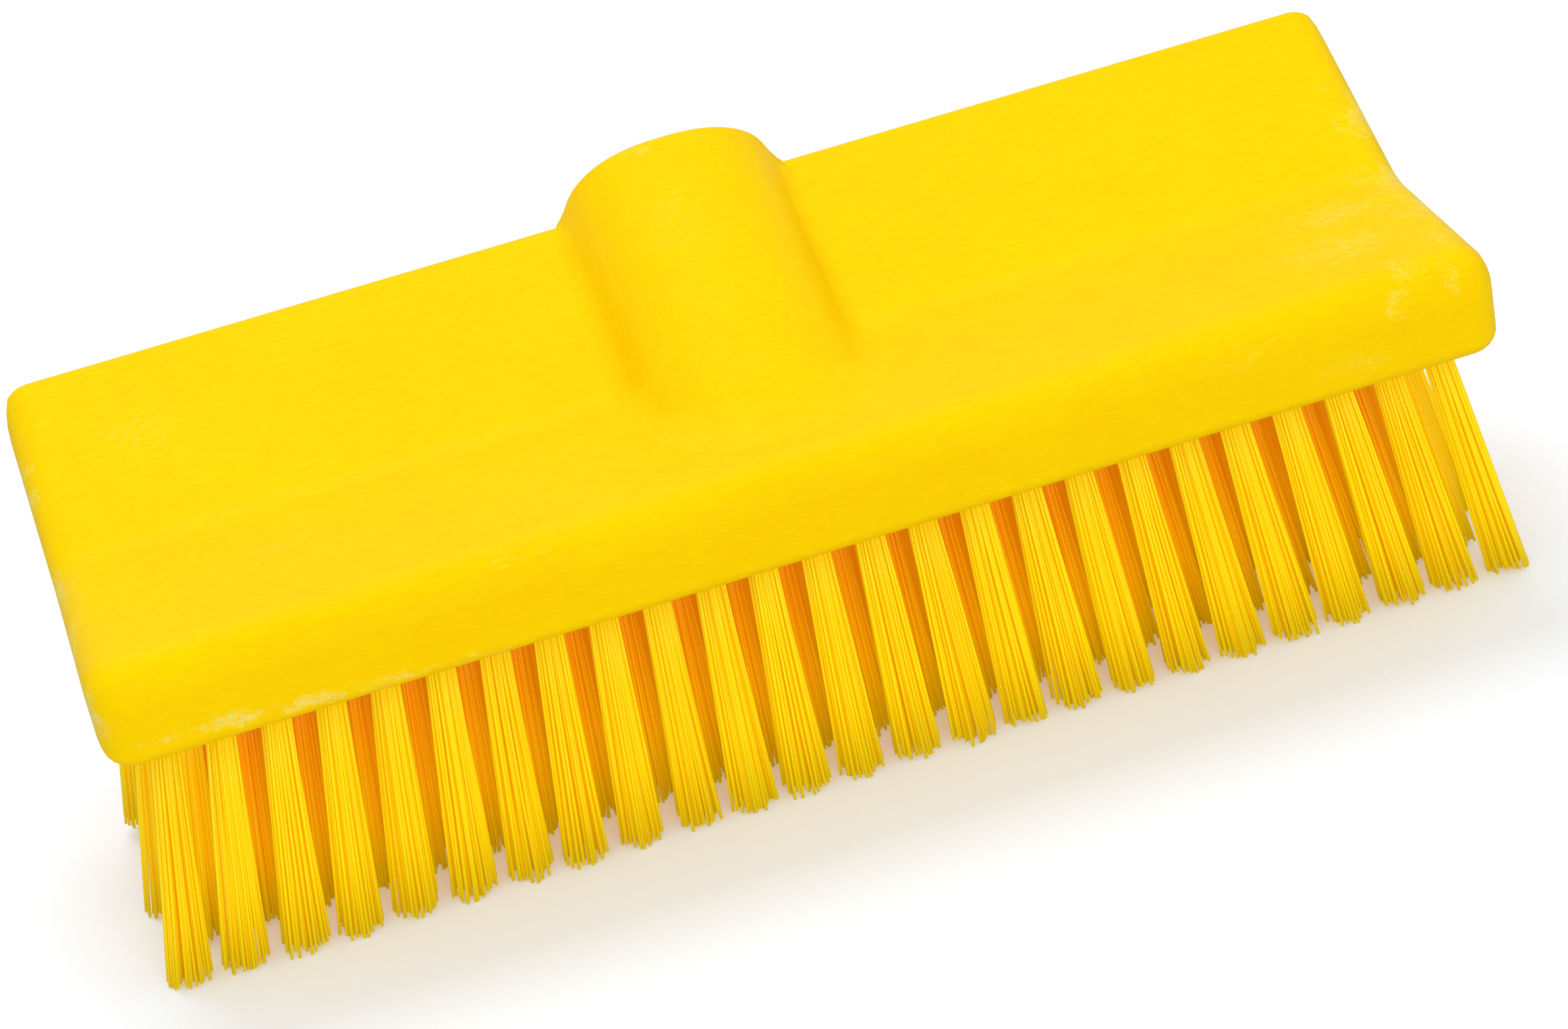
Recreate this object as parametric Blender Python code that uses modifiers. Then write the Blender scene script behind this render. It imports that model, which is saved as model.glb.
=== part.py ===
"""Bi-level deck scrub brush head: a moulded block and six rows of bristle tufts.

The brush stands on its four flat rows. X runs along the block, +Y points to the
raised wing and the handle socket, +Z is up. The origin is on the floor, at the
middle of the length and of the depth.
"""
import math

import bmesh
import bpy
from mathutils import Matrix, Vector

MM = 0.001

# Block: flat wing in front, raised wing behind, one crease between them.
BLOCK_LENGTH = 254 * MM
FLAT_DEPTH = 44.8 * MM
FLAT_THICKNESS = 19.5 * MM
WING_LENGTH = 43 * MM
WING_ANGLE = math.radians(30)
WING_THICKNESS = 24.5 * MM
WALL_DRAFT = 1.5 * MM

# Rounded edges of the block.
FRONT_TOP_RADIUS = 7.5 * MM
VALLEY_RADIUS = 12.5 * MM
REAR_TOP_RADIUS = 2 * MM
LOWER_EDGE_RADIUS = 3 * MM
CREASE_RADIUS = 10 * MM
END_RADIUS = 5.5 * MM
LEAST_RADIUS = 0.4 * MM

# Handle boss: a hump along the raised wing, with an egg-shaped nose. Its section is a
# circle for a squareness of 2, and has fuller shoulders above that.
BOSS_RADIUS = 20.6 * MM
BOSS_AXIS_DROP = 5.4 * MM
BOSS_STRAIGHT = 55 * MM
BOSS_NOSE = 31 * MM
BOSS_FILLET = 4.5 * MM
BOSS_SQUARENESS = 2.45
BOSS_FILLET_FADE = 8 * MM
LEAST_FILLET_SHARE = 0.1
MOUTH_ROUNDING = 1.5 * MM
SNOUT_LENGTH = 28 * MM
MOULD_STEP = 0.4 * MM
SEAM_SINK = 0.08 * MM

# Handle socket, for a 3/4 inch threaded handle.
SOCKET_RADIUS = 10 * MM
SOCKET_DEPTH = 40 * MM
SOCKET_CHAMFER = 1.5 * MM
SOCKET_CONE = 3.3 * MM

# Tufts: 25 and 24 in turn, set half a pitch apart from row to row.
TUFT_COUNT = 25
END_TUFT_MARGIN = 10.6 * MM
TUFT_HOLE_RADIUS = 2.75 * MM
BRISTLE_TRIM = 47 * MM
END_FAN = 0.067
FIRST_ROW = 9.5 * MM
ROW_PITCH = 13 * MM
FLAT_ROWS = 4
FIRST_WING_ROW = 4 * MM
WING_ROW_TILTS = (math.radians(4), math.radians(13))
ODD_RUN_COUNT = 5
EVEN_RUN_COUNT = 4

# Each tuft is drawn as three strands, fused to a slice of the block's underside.
STRANDS_IN_TUFT = 3
STRAND_SIDES = 3
STRAND_ROOT_RADIUS = 1.1 * MM
STRAND_TIP_RADIUS = 1.8 * MM
STRAND_ROOT_SPREAD = 1.5 * MM
STRAND_TIP_SPREAD = 2.6 * MM
STRAND_SINK = 0.9 * MM
SLICE_MARGIN = 0.35 * MM
SLICE_THICKNESS = 3 * MM
SEAT_GAP = 0.3 * MM

# How far a tool runs past the face it joins or cuts.
JOIN_OVERRUN = 1 * MM
CUT_OVERRUN = 2 * MM

# Facets on the round stretches, and halvings of each search for a height or a width.
ROUND_COLUMNS = 12
FILLET_COLUMNS = 5
NOSE_STEPS = 16
MOUTH_STEPS = 3
ARC_STEPS = 8
END_STEPS = 6
RING_STEPS = 40
HALF_ROUND_STEPS = 4
SEARCH_STEPS = 34

YELLOW_BLOCK = (1.0, 0.70, 0.0, 1.0)
YELLOW_BRISTLE = (0.94, 0.72, 0.0, 1.0)

SIN_WING = math.sin(WING_ANGLE)
COS_WING = math.cos(WING_ANGLE)
UNDERSIDE_Z = BRISTLE_TRIM
TOP_Z = UNDERSIDE_Z + FLAT_THICKNESS
TUFT_PITCH = (BLOCK_LENGTH - 2 * END_TUFT_MARGIN) / (TUFT_COUNT - 1)
REAR_Y = FLAT_DEPTH + WING_LENGTH * COS_WING
REAR_Z = TOP_Z + WING_LENGTH * SIN_WING
CREASE_Y = FLAT_DEPTH + (WING_THICKNESS - FLAT_THICKNESS * COS_WING) / SIN_WING
SNOUT_RADIUS = BOSS_RADIUS - MOULD_STEP
DRAFT_ANGLE = math.atan(WALL_DRAFT / FLAT_THICKNESS)
FRONT_MOST = FRONT_TOP_RADIUS * (1 / math.cos(DRAFT_ANGLE) - 1 + math.tan(DRAFT_ANGLE))
REAR_MOST = (REAR_Y + (BOSS_AXIS_DROP + SNOUT_RADIUS - MOUTH_ROUNDING) * SIN_WING
             + MOUTH_ROUNDING * (1 - COS_WING))
FRONT_Y = -(FRONT_MOST + REAR_MOST) / 2


def new_collection(name):
    collection = bpy.data.collections.new(name)
    bpy.context.scene.collection.children.link(collection)
    return collection


def new_material(name, color, roughness):
    material = bpy.data.materials.new(name)
    material.use_nodes = True
    shader = material.node_tree.nodes["Principled BSDF"]
    shader.inputs["Base Color"].default_value = color
    shader.inputs["Roughness"].default_value = roughness
    shader.inputs["Metallic"].default_value = 0.0
    return material


def object_from_bmesh(name, bm, collection):
    """Make an object of a bmesh, with its faces turned outward."""
    bmesh.ops.recalc_face_normals(bm, faces=bm.faces)
    mesh = bpy.data.meshes.new(name)
    bm.to_mesh(mesh)
    bm.free()
    item = bpy.data.objects.new(name, mesh)
    collection.objects.link(item)
    return item


def make_guide(item):
    item.hide_render = True
    item.display_type = "WIRE"


def combine(target, tool, operation):
    """Join a tool to the target, or cut it out, with an exact Boolean."""
    boolean = target.modifiers.new(tool.name, "BOOLEAN")
    boolean.operation = operation
    boolean.solver = "EXACT"
    boolean.object = tool


def loft(name, sections, collection):
    """Skin closed sections that have the same number of points, and cap both ends."""
    bm = bmesh.new()
    rings = [[bm.verts.new(point) for point in section] for section in sections]
    for ring, following in zip(rings, rings[1:]):
        for index in range(len(ring)):
            bm.faces.new((ring[index - 1], ring[index], following[index], following[index - 1]))
    bm.faces.new(rings[0])
    bm.faces.new(rings[-1])
    return object_from_bmesh(name, bm, collection)


def wing_frame(back, height):
    """Point (y, z) at a distance in front of the rear edge and above the raised wing."""
    return (REAR_Y - back * COS_WING - height * SIN_WING,
            REAR_Z - back * SIN_WING + height * COS_WING)


def inset_corners(corners, inset):
    """Move each side of a clockwise outline inward and find the new corners."""
    moved = []
    for index, corner in enumerate(corners):
        before = corner - corners[index - 1]
        after = corners[(index + 1) % len(corners)] - corner
        before.normalize()
        after.normalize()
        normal_before = Vector((before.y, -before.x))
        normal_after = Vector((after.y, -after.x))
        reach = inset / (1 + normal_before.dot(normal_after))
        moved.append(corner + reach * (normal_before + normal_after))
    return moved


def rounded_outline(corners, radii, inset):
    """Outline (y, z) of the block's side view, moved inward, with arcs at the corners."""
    points = []
    moved = inset_corners(corners, inset)
    for index, corner in enumerate(moved):
        to_last = (moved[index - 1] - corner).normalized()
        to_next = (moved[(index + 1) % len(moved)] - corner).normalized()
        hollow = to_last.x * to_next.y - to_last.y * to_next.x < 0
        radius = radii[index] + inset if hollow else max(radii[index] - inset, LEAST_RADIUS)
        half_angle = to_last.angle(to_next) / 2
        centre = corner + (to_last + to_next).normalized() * radius / math.sin(half_angle)
        start = corner + to_last * radius / math.tan(half_angle) - centre
        end = corner + to_next * radius / math.tan(half_angle) - centre
        sweep = math.atan2(start.x * end.y - start.y * end.x, start.dot(end))
        for step in range(ARC_STEPS + 1):
            turn = Matrix.Rotation(sweep * step / ARC_STEPS, 2)
            points.append(centre + turn @ start)
    return points


def block_corners():
    """Corners of the side view, clockwise from the foot of the front wall."""
    rear_foot_z = UNDERSIDE_Z + (REAR_Y - CREASE_Y) * math.tan(WING_ANGLE)
    corners = [(WALL_DRAFT, UNDERSIDE_Z), (0.0, TOP_Z), (FLAT_DEPTH, TOP_Z),
               (REAR_Y, REAR_Z), (REAR_Y, rear_foot_z), (CREASE_Y, UNDERSIDE_Z)]
    radii = [LOWER_EDGE_RADIUS, FRONT_TOP_RADIUS, VALLEY_RADIUS,
             REAR_TOP_RADIUS, LOWER_EDGE_RADIUS, CREASE_RADIUS]
    return [Vector(corner) for corner in corners], radii


def build_block_body(collection):
    """Loft the side view along X, drawn in along a quarter circle at both ends."""
    corners, radii = block_corners()
    stations = []
    for step in range(END_STEPS + 1):
        turn = math.radians(90) * step / END_STEPS
        stations.append((BLOCK_LENGTH / 2 - END_RADIUS * (1 - math.sin(turn)),
                         END_RADIUS * (1 - math.cos(turn))))
    stations = [(-x, inset) for x, inset in reversed(stations)] + stations
    sections = []
    for x, inset in stations:
        outline = rounded_outline(corners, radii, inset)
        sections.append([(x, FRONT_Y + y, z) for y, z in outline])
    return loft("brush_block", sections, collection)


def base_height(back):
    """Height of the block's top over the raised wing's plane, and its slope there."""
    valley = WING_LENGTH
    reach = VALLEY_RADIUS * math.tan(WING_ANGLE / 2)
    if back <= valley - reach:
        return 0.0, 0.0
    if back >= valley + reach * COS_WING:
        return (back - valley) * math.tan(WING_ANGLE), WING_ANGLE
    turn = math.asin((back - valley + reach) / VALLEY_RADIUS)
    return VALLEY_RADIUS * (1 - math.cos(turn)), turn


def boss_radius(back):
    """Radius of the straight boss, rounded over at its mouth."""
    if back >= MOUTH_ROUNDING:
        return BOSS_RADIUS
    inset = MOUTH_ROUNDING - max(back, 0.0)
    return BOSS_RADIUS - MOUTH_ROUNDING + math.sqrt(MOUTH_ROUNDING ** 2 - inset ** 2)


def boss_fillet(back):
    """Fillet along the boss, which dies out toward the rear edge of the wing."""
    share = min(max(back / BOSS_FILLET_FADE, LEAST_FILLET_SHARE), 1.0)
    return BOSS_FILLET * math.sin(share * math.pi / 2)


def boss_distance(x, back, height):
    """Distance to the boss: a full-shouldered cylinder with an egg-shaped nose."""
    ahead = max(back - BOSS_STRAIGHT, 0.0) * BOSS_RADIUS / BOSS_NOSE
    total = sum(abs(side) ** BOSS_SQUARENESS for side in (x, height + BOSS_AXIS_DROP, ahead))
    return total ** (1 / BOSS_SQUARENESS) - boss_radius(back)


def blended_height(x, back):
    """Height where the block's top and the boss meet in a round fillet."""
    fillet = boss_fillet(back)
    base, slope = base_height(back)
    low = base
    high = base + 2 * BOSS_RADIUS
    for _ in range(SEARCH_STEPS):
        height = (low + high) / 2
        to_block = (height - base) * math.cos(slope)
        to_boss = boss_distance(x, back, height)
        corner = math.hypot(max(fillet - to_block, 0.0), max(fillet - to_boss, 0.0))
        if max(fillet, min(to_block, to_boss)) > corner:
            high = height
        else:
            low = height
    return low


def foot_width(back):
    """Half the width over which the boss and its fillet stand above the block."""
    base = base_height(back)[0]
    low = 0.0
    high = BOSS_RADIUS + 2 * BOSS_FILLET
    for _ in range(SEARCH_STEPS):
        x = (low + high) / 2
        if blended_height(x, back) - base > SEAM_SINK / 2:
            low = x
        else:
            high = x
    return low


def column_shares():
    """Columns over half the boss, as shares of its width: even steps round its curves."""
    lean = math.asin((BOSS_FILLET + BOSS_AXIS_DROP) / (BOSS_RADIUS + BOSS_FILLET))
    foot = (BOSS_RADIUS + BOSS_FILLET) * math.cos(lean)
    widths = [BOSS_RADIUS * math.sin((math.pi / 2 - lean) * step / ROUND_COLUMNS)
              for step in range(ROUND_COLUMNS + 1)]
    for step in range(1, FILLET_COLUMNS + 1):
        turn = lean + (math.pi / 2 - lean) * step / FILLET_COLUMNS
        widths.append(foot - BOSS_FILLET * math.cos(turn))
    return [width / foot for width in widths]


def boss_end():
    """Place on the centre line where the fillet in front of the nose runs out."""
    low = BOSS_STRAIGHT
    high = BOSS_STRAIGHT + BOSS_NOSE
    for _ in range(SEARCH_STEPS):
        back = (low + high) / 2
        if blended_height(0.0, back) - base_height(back)[0] > SEAM_SINK / 2:
            low = back
        else:
            high = back
    return low


def boss_stations():
    """Places along the boss, close together where its form turns."""
    valley_reach = VALLEY_RADIUS * math.tan(WING_ANGLE / 2)
    places = [-JOIN_OVERRUN]
    for step in range(MOUTH_STEPS + 1):
        places.append(MOUTH_ROUNDING * (1 - math.cos(math.pi / 2 * step / MOUTH_STEPS)))
    places += [BOSS_FILLET_FADE / 2, BOSS_FILLET_FADE]
    start = WING_LENGTH - valley_reach
    for step in range(ARC_STEPS + 1):
        places.append(start + valley_reach * (1 + COS_WING) * step / ARC_STEPS)
    run = boss_end() - BOSS_STRAIGHT
    for step in range(NOSE_STEPS + 1):
        places.append(BOSS_STRAIGHT + run * math.sin(math.pi / 2 * step / NOSE_STEPS))
    return places


def build_boss(collection):
    """Loft the hump over the block, square to its axis, from mouth to nose."""
    shares = column_shares()
    sections = []
    for back in boss_stations():
        reach = max(foot_width(back), JOIN_OVERRUN)
        half = [share * reach for share in shares]
        across = [-width for width in reversed(half[1:])] + half
        floor = base_height(back)[0] - BOSS_AXIS_DROP
        section = []
        for x in across:
            y, z = wing_frame(back, blended_height(x, back) - SEAM_SINK)
            section.append((x, FRONT_Y + y, z))
        for x in (across[-1], across[0]):
            y, z = wing_frame(back, floor)
            section.append((x, FRONT_Y + y, z))
        sections.append(section)
    return loft("boss_hump", sections, collection)


def axis_matrix(back):
    """Frame on the socket's axis: its Z runs out of the mouth, square to the mouth."""
    y, z = wing_frame(back, -BOSS_AXIS_DROP)
    lean = Matrix.Rotation(WING_ANGLE - math.radians(90), 4, "X")
    return Matrix.Translation((0.0, FRONT_Y + y, z)) @ lean


def turned(name, profile, collection):
    """Turn a profile of (radius, height) points, top to bottom, about Z."""
    mesh = bpy.data.meshes.new(name)
    edges = [(index, index + 1) for index in range(len(profile) - 1)]
    mesh.from_pydata([(radius, 0.0, height) for radius, height in profile], edges, [])
    item = bpy.data.objects.new(name, mesh)
    collection.objects.link(item)
    screw = item.modifiers.new("turn", "SCREW")
    screw.steps = RING_STEPS
    screw.render_steps = RING_STEPS
    screw.use_merge_vertices = True
    screw.merge_threshold = 0.01 * MM
    return item


def build_snout(collection):
    """Lower half of the boss's mouth, which stands out behind the rear wall."""
    profile = [(0.0, JOIN_OVERRUN), (SNOUT_RADIUS - MOUTH_ROUNDING, JOIN_OVERRUN)]
    for step in range(MOUTH_STEPS + 1):
        turn = math.pi / 2 * step / MOUTH_STEPS
        profile.append((SNOUT_RADIUS - MOUTH_ROUNDING * (1 - math.sin(turn)),
                        -MOUTH_ROUNDING * (1 - math.cos(turn))))
    profile += [(SNOUT_RADIUS, -SNOUT_LENGTH), (0.0, -SNOUT_LENGTH)]
    snout = turned("boss_snout", profile, collection)
    snout.matrix_world = axis_matrix(0.0)
    return snout


def build_mouth_cut(collection):
    """Box that leaves the mouth as one flat ring, square to the socket."""
    bm = bmesh.new()
    bmesh.ops.create_cube(bm, size=4 * BOSS_RADIUS)
    bmesh.ops.translate(bm, verts=bm.verts, vec=(0, 0, 2 * BOSS_RADIUS))
    cut = object_from_bmesh("mouth_cut", bm, collection)
    cut.matrix_world = axis_matrix(0.0)
    return cut


def build_socket_cut(collection):
    """Socket for the handle, with a chamfered mouth and a coned bottom."""
    profile = [(0.0, CUT_OVERRUN), (SOCKET_RADIUS + SOCKET_CHAMFER, CUT_OVERRUN),
               (SOCKET_RADIUS + SOCKET_CHAMFER, 0.0), (SOCKET_RADIUS, -SOCKET_CHAMFER),
               (SOCKET_RADIUS, -SOCKET_DEPTH), (0.0, -SOCKET_DEPTH - SOCKET_CONE)]
    cut = turned("socket_cut", profile, collection)
    cut.matrix_world = axis_matrix(0.0)
    return cut


def row_plan():
    """Where each row starts on the underside, how it leans, and its tufts."""
    rows = []
    for number in range(FLAT_ROWS):
        y = FIRST_ROW + ROW_PITCH * number
        rows.append({"y": y, "z": UNDERSIDE_Z, "slope": 0.0, "tilt": 0.0})
    for number, tilt in enumerate(WING_ROW_TILTS):
        along = FIRST_WING_ROW + ROW_PITCH * number
        rows.append({"y": CREASE_Y + along * COS_WING, "z": UNDERSIDE_Z + along * SIN_WING,
                     "slope": WING_ANGLE, "tilt": tilt})
    for number, row in enumerate(rows):
        odd_row = number % 2 == 0
        tufts = TUFT_COUNT if odd_row else TUFT_COUNT - 1
        size = ODD_RUN_COUNT if odd_row else EVEN_RUN_COUNT
        row["places"] = [(index - (tufts - 1) / 2) * TUFT_PITCH for index in range(tufts)]
        row["sections"] = [row["places"][start:start + size] for start in range(0, tufts, size)]
        row["drop"] = BRISTLE_TRIM * math.cos(row["tilt"])
    return rows


def row_matrix(row, x):
    """Frame on the underside: X along the row, Z out of the block's underside."""
    lean = Matrix.Rotation(math.radians(180) + row["slope"], 4, "X")
    return Matrix.Translation((x, FRONT_Y + row["y"], row["z"])) @ lean


def add_bar(bm, row, places, gap, reach):
    """Bar with half-round ends, let into the underside along a run of tufts."""
    radius = TUFT_HOLE_RADIUS + SLICE_MARGIN + gap
    bottom = -SLICE_THICKNESS - gap
    centre = (places[0] + places[-1]) / 2
    half = (places[-1] - places[0]) / 2
    outline = []
    for end in (1, -1):
        for step in range(HALF_ROUND_STEPS + 1):
            turn = math.radians(-90 + 180 * step / HALF_ROUND_STEPS) + (0 if end > 0 else math.pi)
            outline.append((end * half + radius * math.cos(turn), radius * math.sin(turn)))
    face = bm.faces.new([bm.verts.new((x, y, bottom)) for x, y in outline])
    grown = bmesh.ops.extrude_face_region(bm, geom=[face])["geom"]
    risen = [part for part in grown if isinstance(part, bmesh.types.BMVert)]
    bmesh.ops.translate(bm, verts=risen, vec=(0, 0, reach - bottom))
    body = list(set(face.verts) | set(risen))
    bmesh.ops.transform(bm, matrix=row_matrix(row, centre), verts=body)


def add_strand(bm, row, place, turn):
    """Strand from inside the slice down to its tip, level at both ends."""
    root_y = STRAND_ROOT_SPREAD * math.sin(turn)
    root = Vector((place + STRAND_ROOT_SPREAD * math.cos(turn),
                   FRONT_Y + row["y"] + root_y, row["z"] + root_y * math.tan(row["slope"])))
    tip = Vector((place * (1 + END_FAN) + STRAND_TIP_SPREAD * math.cos(turn),
                  FRONT_Y + row["y"] + BRISTLE_TRIM * math.sin(row["tilt"])
                  + STRAND_TIP_SPREAD * math.sin(turn), row["z"] - row["drop"]))
    start = root + (root - tip).normalized() * STRAND_SINK
    run = tip - start
    made = bmesh.ops.create_cone(bm, cap_ends=True, segments=STRAND_SIDES,
                                 radius1=STRAND_ROOT_RADIUS, radius2=STRAND_TIP_RADIUS, depth=1.0)
    verts = made["verts"]
    bmesh.ops.translate(bm, verts=verts, vec=(0, 0, 0.5))
    shear = Matrix(((1, 0, run.x, start.x), (0, 1, run.y, start.y),
                    (0, 0, run.z, start.z), (0, 0, 0, 1)))
    bmesh.ops.transform(bm, matrix=shear, verts=verts)


def build_tuft_section(name, row, places, parts, tools):
    """Slice of the underside with the strands of its tufts standing on it."""
    bm = bmesh.new()
    add_bar(bm, row, places, 0.0, 0.0)
    section = object_from_bmesh(name, bm, parts)
    bm = bmesh.new()
    for place in places:
        for strand in range(STRANDS_IN_TUFT):
            add_strand(bm, row, place, math.radians(90 + 360 * strand / STRANDS_IN_TUFT))
    strands = object_from_bmesh(name + "_strands", bm, tools)
    make_guide(strands)
    combine(section, strands, "UNION")
    return section


def build_pocket_cut(rows, collection):
    """All the seats that hold the slices, as one tool."""
    bm = bmesh.new()
    for row in rows:
        for places in row["sections"]:
            add_bar(bm, row, places, SEAT_GAP, CUT_OVERRUN)
    return object_from_bmesh("pocket_cut", bm, collection)


def smooth(item, angle):
    item.data.shade_smooth()
    item.data.set_sharp_from_angle(angle=angle)


def main():
    for item in list(bpy.data.objects):
        bpy.data.objects.remove(item, do_unlink=True)
    parts = new_collection("deck_brush")
    tools = new_collection("deck_brush_tools")
    block_material = new_material("yellow_block", YELLOW_BLOCK, 0.5)
    bristle_material = new_material("yellow_bristle", YELLOW_BRISTLE, 0.4)
    rows = row_plan()

    block = build_block_body(parts)
    block.data.materials.append(block_material)
    for tool, operation in ((build_boss(tools), "UNION"), (build_snout(tools), "UNION"),
                            (build_mouth_cut(tools), "DIFFERENCE"),
                            (build_socket_cut(tools), "DIFFERENCE"),
                            (build_pocket_cut(rows, tools), "DIFFERENCE")):
        make_guide(tool)
        combine(block, tool, operation)
    smooth(block, math.radians(35))

    for number, row in enumerate(rows, start=1):
        wing = "flat" if number <= FLAT_ROWS else "raised"
        for order, places in enumerate(row["sections"], start=1):
            name = f"{wing}_row_{number}_tufts_{order}"
            section = build_tuft_section(name, row, places, parts, tools)
            section.data.materials.append(bristle_material)


main()
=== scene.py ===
"""Looks of a bi-level deck scrub brush head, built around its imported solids.

The block is one yellow moulding with a boss for a threaded handle. Under it stand
six staggered rows of stiff bristle tufts. All sizes are real ones, in metres.
"""
import math
import random

import bmesh
import bpy
from mathutils import Matrix, Vector


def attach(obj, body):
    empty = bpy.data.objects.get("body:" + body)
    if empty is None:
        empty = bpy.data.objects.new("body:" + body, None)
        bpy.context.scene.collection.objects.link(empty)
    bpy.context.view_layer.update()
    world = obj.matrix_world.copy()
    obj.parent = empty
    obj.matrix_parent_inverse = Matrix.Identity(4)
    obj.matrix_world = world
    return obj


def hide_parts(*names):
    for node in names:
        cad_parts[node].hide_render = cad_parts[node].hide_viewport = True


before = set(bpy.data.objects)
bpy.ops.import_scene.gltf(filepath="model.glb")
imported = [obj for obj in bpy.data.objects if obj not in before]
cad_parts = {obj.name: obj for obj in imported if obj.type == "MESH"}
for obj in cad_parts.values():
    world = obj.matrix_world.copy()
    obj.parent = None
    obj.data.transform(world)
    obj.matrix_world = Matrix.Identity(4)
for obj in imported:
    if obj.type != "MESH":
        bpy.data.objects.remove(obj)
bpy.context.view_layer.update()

# ---- Camera
# A long lens in front of the brush, a little to its left and above it, held askew:
# the brush runs downhill to the left across the picture.
camera_data = bpy.data.cameras.new("camera")
camera_data.lens = 103.81
camera_data.sensor_width = 36.0
camera = bpy.data.objects.new("camera", camera_data)
camera.location = (-0.11531, -0.72248, 0.41082)
camera.rotation_euler = (math.radians(62.151), math.radians(11.332), math.radians(-15.167))
bpy.context.scene.collection.objects.link(camera)
bpy.context.scene.camera = camera


# ---- Floor, light and background
# White studio paper inside a light tent, with one soft lamp above and behind and one low
# in front. The paper shows pure white, and keeps the brush's soft shadow: it is a cool
# white to the camera, which evens out the yellow that the brush throws on it.
def add_node(tree, kind, settings=None, links=None):
    """Add a node, set its options or inputs by name or number, and link its inputs."""
    node = tree.nodes.new(kind)
    for name, value in (settings or {}).items():
        if isinstance(name, str) and name not in node.inputs:
            setattr(node, name, value)
        else:
            node.inputs[name].default_value = value
    for name, source in (links or {}).items():
        tree.links.new(source, node.inputs[name])
    return node


bpy.context.scene.view_settings.view_transform = "Standard"

world = bpy.data.worlds.new("light_tent")
world.use_nodes = True
bpy.context.scene.world = world
tree = world.node_tree
tree.nodes.clear()
tent = add_node(tree, "ShaderNodeBackground", {"Color": (1.0, 1.0, 1.0, 1.0), "Strength": 0.72})
add_node(tree, "ShaderNodeOutputWorld", None, {"Surface": tent.outputs[0]})

for name, position, watts in (("high_lamp", (-0.06, 0.5, 1.25), 5.4),
                              ("front_lamp", (0.0, -1.2, 0.3), 4.7)):
    lamp_data = bpy.data.lights.new(name, "AREA")
    lamp_data.shape = "RECTANGLE"
    lamp_data.size = 0.6
    lamp_data.size_y = 0.5
    lamp_data.energy = watts
    lamp = bpy.data.objects.new(name, lamp_data)
    lamp.location = position
    lamp.rotation_euler = (-lamp.location).to_track_quat("-Z", "Y").to_euler()
    bpy.context.scene.collection.objects.link(lamp)

bm = bmesh.new()
bmesh.ops.create_grid(bm, x_segments=1, y_segments=1, size=6.0)
floor_mesh = bpy.data.meshes.new("paper_floor")
bm.to_mesh(floor_mesh)
bm.free()
paper_floor = bpy.data.objects.new("paper_floor", floor_mesh)
bpy.context.scene.collection.objects.link(paper_floor)
paper = bpy.data.materials.new("white_paper")
paper.use_nodes = True
tree = paper.node_tree
tree.nodes.clear()
paths = add_node(tree, "ShaderNodeLightPath")
matt = add_node(tree, "ShaderNodeBsdfDiffuse", {"Color": (0.6, 0.6, 0.6, 1.0)})
cool = add_node(tree, "ShaderNodeBsdfDiffuse", {"Color": (0.8, 0.86, 0.93, 1.0)})
glow = add_node(tree, "ShaderNodeEmission", {"Color": (1.0, 1.0, 1.0, 1.0), "Strength": 0.2})
lifted = add_node(tree, "ShaderNodeAddShader", None, {0: cool.outputs[0], 1: glow.outputs[0]})
mix = add_node(tree, "ShaderNodeMixShader", None,
               {0: paths.outputs["Is Camera Ray"], 1: matt.outputs[0], 2: lifted.outputs[0]})
add_node(tree, "ShaderNodeOutputMaterial", None, {"Surface": mix.outputs[0]})
floor_mesh.materials.append(paper)


# ---- Brush block
# One thick moulding of yellow polypropylene, satin, with a fine drawn grain along its
# length and pale scuffs where its edges have rubbed.
MM = 0.001
SHARP_ANGLE = math.radians(38)
MERGE_DISTANCE = 0.002 * MM
# Worn patches: the middle (x, y, z) and the reach (along, across, up) in millimetres, and
# how strongly the patch is rubbed. Lower front edge, left end, right end with the valley,
# front edge, tops, and the boss with the raised wing's rear edge.
WORN_PATCHES = (
    (-116, -46.5, 52.0, 9, 5, 2.4, 0.7), (-104, -46.5, 50.8, 11, 5, 2.4, 0.9),
    (-91, -46.5, 50.0, 11, 5, 2.2, 0.9), (-76, -46.5, 49.2, 10, 5, 2.0, 0.75),
    (-60, -46.5, 48.6, 10, 5, 2.0, 0.6), (-40, -46.5, 48.2, 14, 5, 1.8, 0.4),
    (-128, 16, 74, 5, 16, 11, 0.85), (-128, -4, 63.5, 6, 15, 7, 0.95),
    (-128, -26, 62.5, 6, 17, 7, 0.95), (-127, -43, 58, 6, 6, 10, 0.95),
    (127, 12, 72, 12, 18, 10, 0.75), (126, -6, 65, 16, 13, 7, 0.85),
    (125, -20, 65, 14, 14, 7, 0.8), (125, -34, 65, 12, 10, 7, 0.7),
    (110, -14, 66.5, 22, 12, 6, 0.6), (106, -28, 66.5, 22, 14, 6, 0.6),
    (111, -41, 66, 6, 9, 5, 0.6), (109, -46, 62, 5, 6, 7, 0.6),
    (119, -44, 63, 5, 6, 7, 0.6), (100, -46.5, 53, 14, 5, 4, 0.5),
    (80, -46.5, 60.5, 14, 5, 4, 0.4), (50, -45, 65, 22, 7, 4, 0.35),
    (-50, -45, 65, 20, 7, 4, 0.35), (-104, 18, 78, 20, 16, 12, 0.35),
    (-88, -20, 66.5, 28, 16, 5, 0.35), (-3, 8, 93, 15, 20, 10, 0.42),
    (0, 29, 99, 20, 6, 5, 0.75), (-19, 33, 91, 5, 5, 8, 0.7),
    (19, 33, 91, 5, 5, 8, 0.7), (0, 34.5, 87.5, 140, 3, 3, 0.55))


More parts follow.
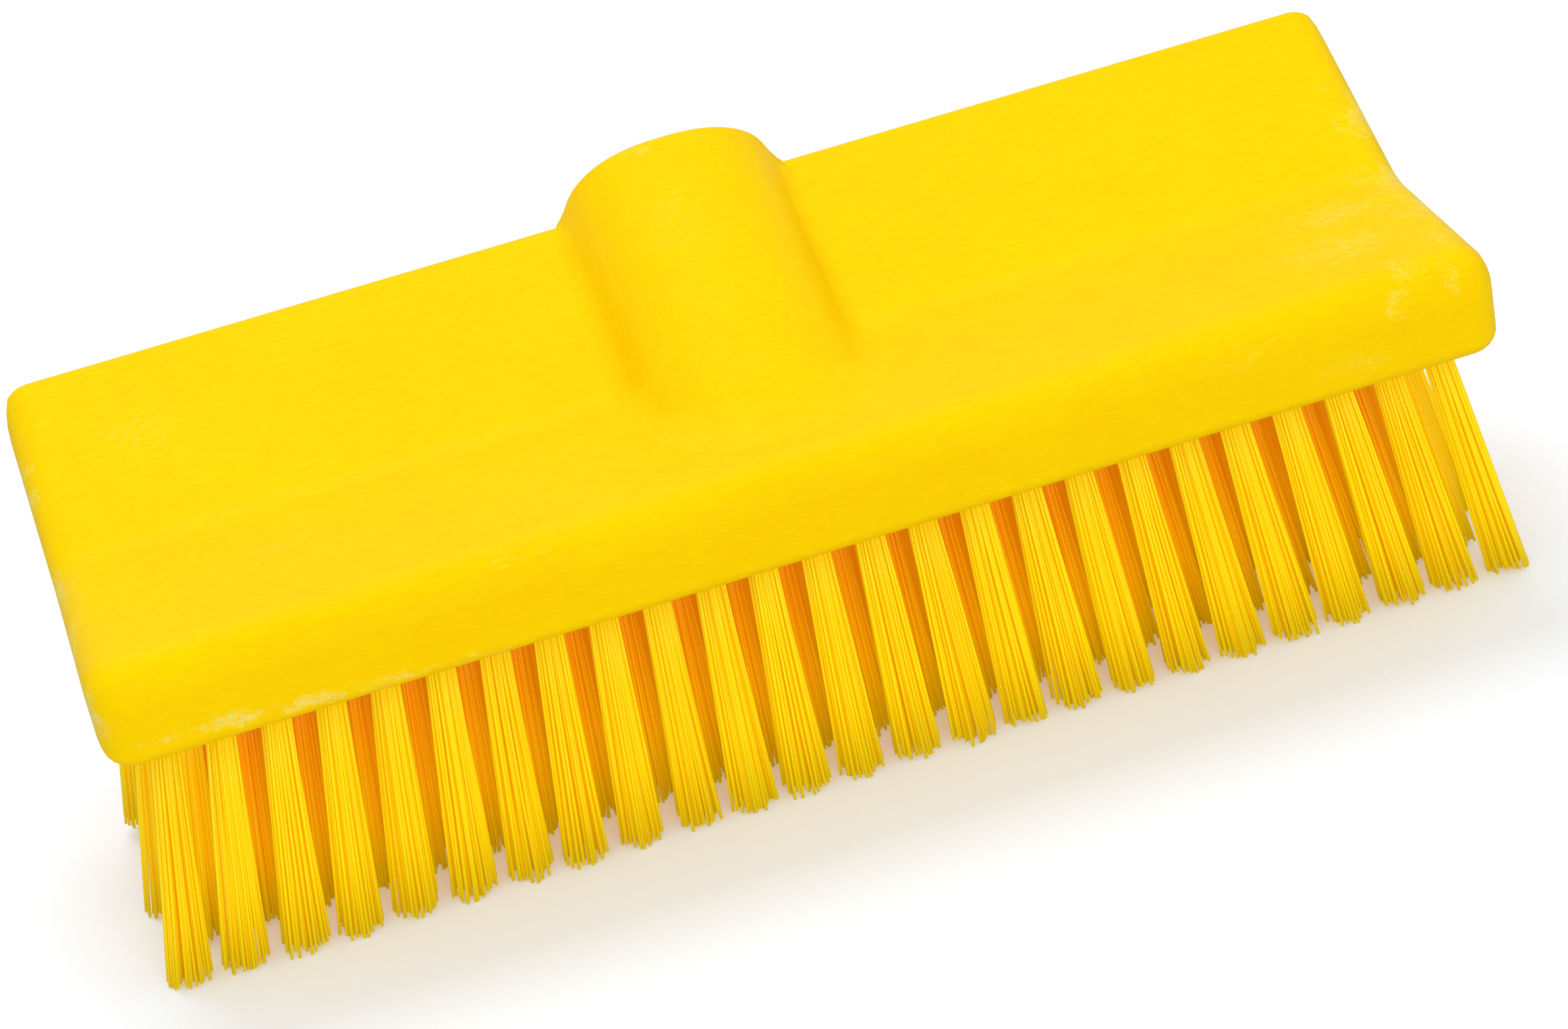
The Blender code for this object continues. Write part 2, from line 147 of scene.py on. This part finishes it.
def linear(text):
    """Linear colour of an sRGB hex value."""
    parts = [int(text[place:place + 2], 16) / 255 for place in (0, 2, 4)]
    return tuple(part / 12.92 if part <= 0.04045 else ((part + 0.055) / 1.055) ** 2.4
                 for part in parts) + (1.0,)


# Injection-moulded polypropylene: waxy and even in colour, with a broad weak shine.
moulded = bpy.data.materials.new("moulded_polypropylene")
moulded.use_nodes = True
tree = moulded.node_tree
shader = tree.nodes["Principled BSDF"]
shader.inputs["IOR"].default_value = 1.49
shader.inputs["Specular IOR Level"].default_value = 0.06
shader.inputs["Specular Tint"].default_value = linear("FFF09A")
# All patterns run on the part's own place in millimetres.
spot = add_node(tree, "ShaderNodeTexCoord").outputs["Object"]
spot = add_node(tree, "ShaderNodeMapping", {"Scale": (1 / MM, 1 / MM, 1 / MM)},
                {"Vector": spot}).outputs[0]
# Flow of the melt: faint clouds, 25 mm wide.
clouds = add_node(tree, "ShaderNodeTexNoise", {"Scale": 0.04, "Detail": 3.0, "Roughness": 0.6},
                  {"Vector": spot})
body = add_node(tree, "ShaderNodeMix",
                {"data_type": "RGBA", 6: linear("FFD300"), 7: linear("FFDD00")},
                {0: clouds.outputs["Fac"]})
# Grain: strokes 4 mm long and half a millimetre wide, drawn a little coarser than the
# real ones so that they show.
drawn = add_node(tree, "ShaderNodeMapping", {"Scale": (0.25, 2.0, 2.0)}, {"Vector": spot})
grain = add_node(tree, "ShaderNodeTexNoise", {"Scale": 1.0, "Detail": 4.0, "Roughness": 0.65},
                 {"Vector": drawn.outputs[0]})
strokes = add_node(tree, "ShaderNodeMapRange", {"From Min": 0.35, "From Max": 0.68},
                   {"Value": grain.outputs["Fac"]})
tinted = add_node(tree, "ShaderNodeMix",
                  {"data_type": "RGBA", "blend_type": "MULTIPLY", 7: linear("FFF5DA")},
                  {0: strokes.outputs[0], 6: body.outputs[2]})
# Grime in the pores: dull patches of about 4 mm.
grime = add_node(tree, "ShaderNodeTexNoise",
                 {"Scale": 0.25, "Detail": 6.0, "Roughness": 0.7, "Distortion": 0.8},
                 {"Vector": spot})
grimy = add_node(tree, "ShaderNodeMapRange",
                 {"interpolation_type": "SMOOTHSTEP", "From Min": 0.45, "From Max": 0.78,
                  "To Min": 0.0, "To Max": 0.3}, {"Value": grime.outputs["Fac"]})
dulled = add_node(tree, "ShaderNodeMix", {"data_type": "RGBA", 7: linear("F5C600")},
                  {0: grimy.outputs[0], 6: tinted.outputs[2]})
# Scuffs: how strongly each place is rubbed, from the middle of each worn patch to its
# edge, whose outline wanders by about 3 mm.
drift = add_node(tree, "ShaderNodeTexNoise", {"Scale": 0.16, "Detail": 4.0, "Roughness": 0.7},
                 {"Vector": spot})
drift = add_node(tree, "ShaderNodeVectorMath", {"operation": "SUBTRACT", 1: (0.5, 0.5, 0.5)},
                 {0: drift.outputs["Color"]})
wander = add_node(tree, "ShaderNodeVectorMath",
                  {"operation": "MULTIPLY_ADD", 1: (16.0, 10.0, 8.0)},
                  {0: drift.outputs["Vector"], 2: spot})
worn = None
for x, y, z, along, across, up, strength in WORN_PATCHES:
    away = add_node(tree, "ShaderNodeVectorMath",
                    {"operation": "MULTIPLY_ADD", 1: (1 / along, 1 / across, 1 / up),
                     2: (-x / along, -y / across, -z / up)}, {0: wander.outputs["Vector"]})
    far = add_node(tree, "ShaderNodeVectorMath", {"operation": "LENGTH"},
                   {0: away.outputs["Vector"]})
    near = add_node(tree, "ShaderNodeMapRange",
                    {"From Min": 0.1, "To Min": strength, "To Max": 0.0},
                    {"Value": far.outputs["Value"]})
    if worn is None:
        worn = near.outputs[0]
    else:
        worn = add_node(tree, "ShaderNodeMath", {"operation": "MAXIMUM"},
                        {0: worn, 1: near.outputs[0]}).outputs[0]
# Rubbed plastic is polished to a lighter yellow, in fibres about 2 mm long.
fibres = add_node(tree, "ShaderNodeMapping", {"Scale": (0.5, 1.1, 1.1)}, {"Vector": spot})
fibres = add_node(tree, "ShaderNodeTexNoise",
                  {"Scale": 1.0, "Detail": 6.0, "Roughness": 0.72, "Distortion": 1.2},
                  {"Vector": fibres.outputs[0]})
polish = add_node(tree, "ShaderNodeMath", {"operation": "MULTIPLY_ADD", 1: 0.42},
                  {0: worn, 2: fibres.outputs["Fac"]})
polished = add_node(tree, "ShaderNodeMapRange",
                    {"interpolation_type": "SMOOTHSTEP", "From Min": 0.64, "From Max": 0.95,
                     "To Min": 0.0, "To Max": 0.65}, {"Value": polish.outputs[0]})
lighter = add_node(tree, "ShaderNodeMix", {"data_type": "RGBA", 7: linear("FFEB66")},
                   {0: polished.outputs[0], 6: dulled.outputs[2]})
# Where it is rubbed hardest it turns chalky, in grains of about half a millimetre.
grains = add_node(tree, "ShaderNodeTexNoise", {"Scale": 2.2, "Detail": 4.0, "Roughness": 0.75},
                  {"Vector": spot})
chalk = add_node(tree, "ShaderNodeMath", {"operation": "MULTIPLY_ADD", 1: 0.36},
                 {0: worn, 2: grains.outputs["Fac"]})
scuffed = add_node(tree, "ShaderNodeMapRange",
                   {"interpolation_type": "SMOOTHSTEP", "From Min": 0.77, "From Max": 0.92,
                    "To Min": 0.0, "To Max": 0.75}, {"Value": chalk.outputs[0]})
# Single pale nicks, strewn thinly all over.
nicks = add_node(tree, "ShaderNodeTexNoise", {"Scale": 0.55, "Detail": 6.0, "Roughness": 0.75},
                 {"Vector": drawn.outputs[0]})
nicked = add_node(tree, "ShaderNodeMapRange",
                  {"interpolation_type": "SMOOTHSTEP", "From Min": 0.7, "From Max": 0.78,
                   "To Min": 0.0, "To Max": 0.6}, {"Value": nicks.outputs["Fac"]})
pale = add_node(tree, "ShaderNodeMath", {"operation": "MAXIMUM"},
                {0: scuffed.outputs[0], 1: nicked.outputs[0]})
painted = add_node(tree, "ShaderNodeMix", {"data_type": "RGBA", 7: linear("FCEDA0")},
                   {0: pale.outputs[0], 6: lighter.outputs[2]})
tree.links.new(painted.outputs[2], shader.inputs["Base Color"])
gloss = add_node(tree, "ShaderNodeMapRange", {"To Min": 0.48, "To Max": 0.75},
                 {"Value": pale.outputs[0]})
tree.links.new(gloss.outputs[0], shader.inputs["Roughness"])
# Relief: the grain, shallow sinks 12 mm wide, and the roughened scuffs.
sinks = add_node(tree, "ShaderNodeTexNoise", {"Scale": 0.08, "Detail": 2.0}, {"Vector": spot})
relief = add_node(tree, "ShaderNodeBump", {"Strength": 0.5, "Distance": 1 * MM},
                  {"Height": sinks.outputs["Fac"]})
relief = add_node(tree, "ShaderNodeBump", {"Strength": 0.45, "Distance": 0.12 * MM},
                  {"Height": grain.outputs["Fac"], "Normal": relief.outputs[0]})
relief = add_node(tree, "ShaderNodeBump", {"Strength": 0.5, "Distance": 0.1 * MM},
                  {"Height": scuffed.outputs[0], "Normal": relief.outputs[0]})
tree.links.new(relief.outputs[0], shader.inputs["Normal"])

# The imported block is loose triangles: a merged copy takes its place, so that its round
# edges shade as smoothly as the moulding's.
bm = bmesh.new()
bm.from_mesh(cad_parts["brush_block"].data)
bmesh.ops.remove_doubles(bm, verts=bm.verts, dist=MERGE_DISTANCE)
for face in bm.faces:
    face.smooth = True
mesh = bpy.data.meshes.new("moulded_block")
bm.to_mesh(mesh)
bm.free()
mesh.set_sharp_from_angle(angle=SHARP_ANGLE)
mesh.materials.clear()
mesh.materials.append(moulded)
moulded_block = bpy.data.objects.new("moulded_block", mesh)
bpy.context.scene.collection.objects.link(moulded_block)
weighted = moulded_block.modifiers.new("weighted_normals", "WEIGHTED_NORMAL")
weighted.keep_sharp = True
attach(moulded_block, "root")
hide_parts("brush_block")

# ---- Thread in the handle socket
# The thread that the handle screws into, moulded with the block: 5 turns to the inch,
# with flattened crests that stand in from the socket's wall.
SOCKET_RADIUS = 10 * MM
THREAD_DEPTH = 1.1 * MM
THREAD_SINK = 0.05 * MM
HALF_ROOT = 1.5 * MM
HALF_CREST = 0.6 * MM
THREAD_START = 4 * MM
THREAD_PITCH = 5.08 * MM
THREAD_TURNS = 6
THREAD_STEPS = 28
MOUTH = Vector((0.0, 37.2945, 83.3235)) * MM
WING_ANGLE = math.radians(30)

bm = bmesh.new()
wall = SOCKET_RADIUS + THREAD_SINK
crest = SOCKET_RADIUS - THREAD_DEPTH
profile = [bm.verts.new(point) for point in ((wall, 0, -HALF_ROOT), (crest, 0, -HALF_CREST),
                                             (crest, 0, HALF_CREST), (wall, 0, HALF_ROOT))]
face = bm.faces.new(profile)
bmesh.ops.spin(bm, geom=[face], cent=(0, 0, 0), axis=(0, 0, 1),
               angle=2 * math.pi * THREAD_TURNS,
               dvec=(0, 0, -THREAD_PITCH / THREAD_STEPS), steps=THREAD_STEPS * THREAD_TURNS,
               use_merge=False, use_duplicate=False)
bmesh.ops.recalc_face_normals(bm, faces=bm.faces)
bmesh.ops.translate(bm, verts=bm.verts, vec=(0, 0, -THREAD_START))
into_boss = Matrix.Rotation(WING_ANGLE - math.pi / 2, 4, "X")
bmesh.ops.transform(bm, verts=bm.verts, matrix=Matrix.Translation(MOUTH) @ into_boss)
for face in bm.faces:
    face.smooth = True
mesh = bpy.data.meshes.new("socket_thread")
bm.to_mesh(mesh)
bm.free()
mesh.set_sharp_from_angle(angle=SHARP_ANGLE)
mesh.materials.append(moulded)
socket_thread = bpy.data.objects.new("socket_thread", mesh)
bpy.context.scene.collection.objects.link(socket_thread)
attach(socket_thread, "root")

# ---- Bristle tufts
# Each tuft is a bundle of straight extruded filaments of clear yellow plastic, half a
# millimetre thick, folded in two, stapled into a round hole and trimmed level.
FILAMENTS = 64
FILAMENT_RADIUS = 0.28 * MM
FILAMENT_SIDES = 5
FILAMENT_PARTS = 3
HOLE_RADIUS = 2.75 * MM
HOLE_DEPTH = 2.0 * MM
ROOT_SPREAD = 2.45 * MM
TIP_SPREAD = 4.15 * MM
GRIP_DEPTH = HOLE_DEPTH * 0.9
TRIM = 47 * MM
TRIM_RAGGED = 1.1 * MM
SHORT_SHARE = 0.12
STRAY_SHARE = 0.025
STRAY_SPLAY = 1.3
WAVER = 0.25 * MM
BOW = 0.12 * MM
GOLDEN_TURN = math.radians(137.508)
TUFT_KINDS = 9

# Extruded filament: smooth and half clear, with a soft streak of shine, and kept bright by a
# painted glow.
extruded = bpy.data.materials.new("extruded_filament")
extruded.use_nodes = True
tree = extruded.node_tree
shader = tree.nodes["Principled BSDF"]
shader.inputs["Roughness"].default_value = 0.45
shader.inputs["IOR"].default_value = 1.5
shader.inputs["Specular IOR Level"].default_value = 0.25
tone_and_shade = add_node(tree, "ShaderNodeAttribute", {"attribute_name": "tone_and_shade"})
shade = add_node(tree, "ShaderNodeMix",
                 {"data_type": "RGBA", 6: linear("F58C00"), 7: linear("FDE500")},
                 {0: tone_and_shade.outputs["Fac"]})
tree.links.new(shade.outputs[2], shader.inputs["Base Color"])
# Painted glow: clear yellow plastic carries light inwards, but the render follows too few
# light paths to show it. So every filament gives off a faint light of its own instead: deep
# orange where its tone is lowest, yellow where it is lightest.
glow = add_node(tree, "ShaderNodeValToRGB", None, {"Fac": tone_and_shade.outputs["Fac"]})
glow.color_ramp.elements[0].color = linear("B06A00")
middle = glow.color_ramp.elements.new(0.5)
middle.color = linear("B09200")
glow.color_ramp.elements[-1].color = linear("BEA400")
tree.links.new(glow.outputs["Color"], shader.inputs["Emission Color"])
shader.inputs["Emission Strength"].default_value = 0.33

# Kinds of tuft: filaments spread over the hole like seeds in a sunflower, splayed a little
# towards the tips. A few stray, and a few are cut short. Each filament's tone differs at
# random, and those nearer the middle are painted darker, as painted shade inside the bundle.
rng = random.Random(7)
tuft_kinds = []
for kind in range(TUFT_KINDS):
    bm = bmesh.new()
    tone_and_shade_layer = bm.verts.layers.float.new("tone_and_shade")
    for number in range(FILAMENTS):
        turn = number * GOLDEN_TURN + kind
        share = math.sqrt((number + 0.5) / FILAMENTS)
        root = Vector((math.cos(turn), math.sin(turn), 0)) * share * ROOT_SPREAD
        splay = TIP_SPREAD * share * rng.uniform(0.9, 1.06)
        tip = Vector((math.cos(turn), math.sin(turn), 0)) * splay
        tip += Vector((rng.gauss(0, WAVER), rng.gauss(0, WAVER), 0))
        if rng.random() < STRAY_SHARE:
            tip *= STRAY_SPLAY
        bow = Vector((rng.gauss(0, BOW), rng.gauss(0, BOW), 0))
        trim = rng.uniform(0.0, TRIM_RAGGED)
        if rng.random() < SHORT_SHARE:
            trim += rng.uniform(0.3, 1.6) * MM
        # Painted shade: filaments nearer the middle of the tuft are painted darker; the rest of
        # the spread is random tone.
        light = rng.uniform(0.82, 1.0) * (0.6 + 0.4 * share)
        ring = bmesh.ops.create_circle(bm, cap_ends=False, radius=FILAMENT_RADIUS,
                                       segments=FILAMENT_SIDES)["verts"]
        bmesh.ops.translate(bm, verts=ring, vec=root + Vector((0, 0, GRIP_DEPTH)))
        made = list(ring)
        edges = list({edge for vert in ring for edge in vert.link_edges})
        bmesh.ops.contextual_create(bm, geom=edges)
        reach = GRIP_DEPTH + TRIM - trim
        last = root
        for part in range(1, FILAMENT_PARTS + 1):
            way = part / FILAMENT_PARTS
            here = root.lerp(tip, way ** 1.15) + bow * math.sin(math.pi * way)
            grown = bmesh.ops.extrude_edge_only(bm, edges=edges)["geom"]
            fresh = [item for item in grown if isinstance(item, bmesh.types.BMVert)]
            edges = [item for item in grown if isinstance(item, bmesh.types.BMEdge)
                     and item.verts[0] in fresh and item.verts[1] in fresh]
            step = here - last
            step.z = -reach / FILAMENT_PARTS
            bmesh.ops.translate(bm, verts=fresh, vec=step)
            made += fresh
            last = here
        bmesh.ops.contextual_create(bm, geom=edges)
        for vert in made:
            vert[tone_and_shade_layer] = light
    bmesh.ops.recalc_face_normals(bm, faces=bm.faces)
    for face in bm.faces:
        face.smooth = len(face.verts) == 4
    mesh = bpy.data.meshes.new(f"tuft_kind_{kind}")
    bm.to_mesh(mesh)
    bm.free()
    tuft_kinds.append(mesh)

# Rows: each stands at a distance behind the front wall, or up the raised wing from the
# crease, in millimetres; then the underside's slope and the tufts' lean, in degrees. Tufts
# farther than ROW_END from the middle stand at the ends of their row. Points within ON_LINE
# of a line count as on it.
PITCH = 9.7 * MM
ROW_END = 11 * PITCH
ODD_ROW_TUFTS = 25
ODD_ROW_RUN = 5
EVEN_ROW_RUN = 4
END_FAN = 0.067
FRONT_Y = -47.4446 * MM
UNDERSIDE_Z = 47 * MM
CREASE_Y = 60.02505 * MM
ROWS = ((9.5, 0.0, 0, 0), (22.5, 0.0, 0, 0), (35.5, 0.0, 0, 0), (48.5, 0.0, 0, 0),
        (None, 4.0, 30, 4), (None, 17.0, 30, 13))
FLAT_ROWS = 4
SEAT_RADIUS = 3.38 * MM
SEAT_SIDES = 32
HOLE_SIDES = 24
ON_LINE = 0.001 * MM
kind = 0
for row_number, (back, along, slope, tilt) in enumerate(ROWS, start=1):
    slope = math.radians(slope)
    tilt = math.radians(tilt)
    row_y = back * MM if back is not None else CREASE_Y + along * MM * math.cos(slope)
    row_z = UNDERSIDE_Z + along * MM * math.sin(slope)
    odd = row_number % 2 == 1
    count = ODD_ROW_TUFTS if odd else ODD_ROW_TUFTS - 1
    run = ODD_ROW_RUN if odd else EVEN_ROW_RUN
    places = [(number - (count - 1) / 2) * PITCH for number in range(count)]
    wing = "flat" if row_number <= FLAT_ROWS else "raised"
    for order in range(0, count, run):
        group = places[order:order + run]
        name = f"{wing}_row_{row_number}_tufts_{order // run + 1}"
        to_underside = (Matrix.Translation((0.0, FRONT_Y + row_y, row_z))
                        @ Matrix.Rotation(math.pi + slope, 4, "X"))
        # The seat fills the block's pocket flush, with one round hole for each tuft.
        bm = bmesh.new()
        tone_and_shade_layer = bm.verts.layers.float.new("tone_and_shade")
        middle = (group[0] + group[-1]) / 2
        half = (group[-1] - group[0]) / 2
        ends = []
        for side in (1, -1):
            made = bmesh.ops.create_circle(bm, cap_ends=False, radius=SEAT_RADIUS,
                                           segments=SEAT_SIDES)["verts"]
            keep = [vert for vert in made if vert.co.x * side > -ON_LINE]
            spare = [vert for vert in made if vert not in keep]
            bmesh.ops.delete(bm, geom=spare, context="VERTS")
            bmesh.ops.translate(bm, verts=keep, vec=(middle + side * half, 0, 0))
            ends.append(keep)
        for level in (1, -1):
            bm.edges.new([min(end, key=lambda vert: -level * vert.co.y) for end in ends])
        for place in group:
            made = bmesh.ops.create_circle(bm, cap_ends=False, radius=HOLE_RADIUS,
                                           segments=HOLE_SIDES)["verts"]
            bmesh.ops.translate(bm, verts=made, vec=(place, 0, 0))
        bmesh.ops.triangle_fill(bm, edges=bm.edges[:], use_beauty=True, use_dissolve=True,
                                normal=(0, 0, 1))
        rim = [edge for edge in bm.edges if len(edge.link_faces) == 1]
        grown = bmesh.ops.extrude_edge_only(bm, edges=rim)["geom"]
        fresh = [item for item in grown if isinstance(item, bmesh.types.BMVert)]
        bmesh.ops.translate(bm, verts=fresh, vec=(0, 0, -HOLE_DEPTH))
        bottom = [edge for edge in bm.edges if edge.verts[0] in fresh and edge.verts[1] in fresh]
        bmesh.ops.holes_fill(bm, edges=bottom, sides=0)
        bmesh.ops.recalc_face_normals(bm, faces=bm.faces)
        bmesh.ops.transform(bm, matrix=to_underside, verts=bm.verts)
        seat_faces = len(bm.faces)
        for place in group:
            kept = set(bm.verts)
            bm.from_mesh(tuft_kinds[kind % TUFT_KINDS])
            fresh = [vert for vert in bm.verts if vert not in kept]
            kind += 1
            length = TRIM * math.cos(tilt)
            lean_x = (place * END_FAN + rng.gauss(0, WAVER)) / length
            lean_y = math.tan(tilt) + rng.gauss(0, WAVER) / length
            quarter = Matrix.Rotation(math.radians(90 * rng.randrange(4)), 4, "Z")
            # Painted shade: light reaching the inner tufts has passed through the ones around
            # them, so they are painted darker and a deeper orange towards their roots; the outer
            # tufts are painted only a little darker there.
            outer = row_number in (1, len(ROWS)) or abs(place) > ROW_END
            for vert in fresh:
                way = min(max(-vert.co.z / TRIM, 0.0), 1.0)
                vert[tone_and_shade_layer] *= (0.94 + 0.06 * way) if outer else (0.13 + 0.75 * way)
            shear = Matrix(((1, 0, -lean_x, place), (0, 1, -lean_y, FRONT_Y + row_y),
                            (0, 0, math.cos(tilt), row_z), (0, 0, 0, 1)))
            bmesh.ops.transform(bm, matrix=shear @ quarter, verts=fresh)
        mesh = bpy.data.meshes.new(name + "_bristles")
        bm.to_mesh(mesh)
        bm.free()
        mesh.materials.append(extruded)
        mesh.materials.append(moulded)
        for face in mesh.polygons[:seat_faces]:
            face.material_index = 1
        bristles = bpy.data.objects.new(name + "_bristles", mesh)
        bpy.context.scene.collection.objects.link(bristles)
        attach(bristles, "root")
        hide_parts(name)

for mesh in tuft_kinds:
    bpy.data.meshes.remove(mesh)
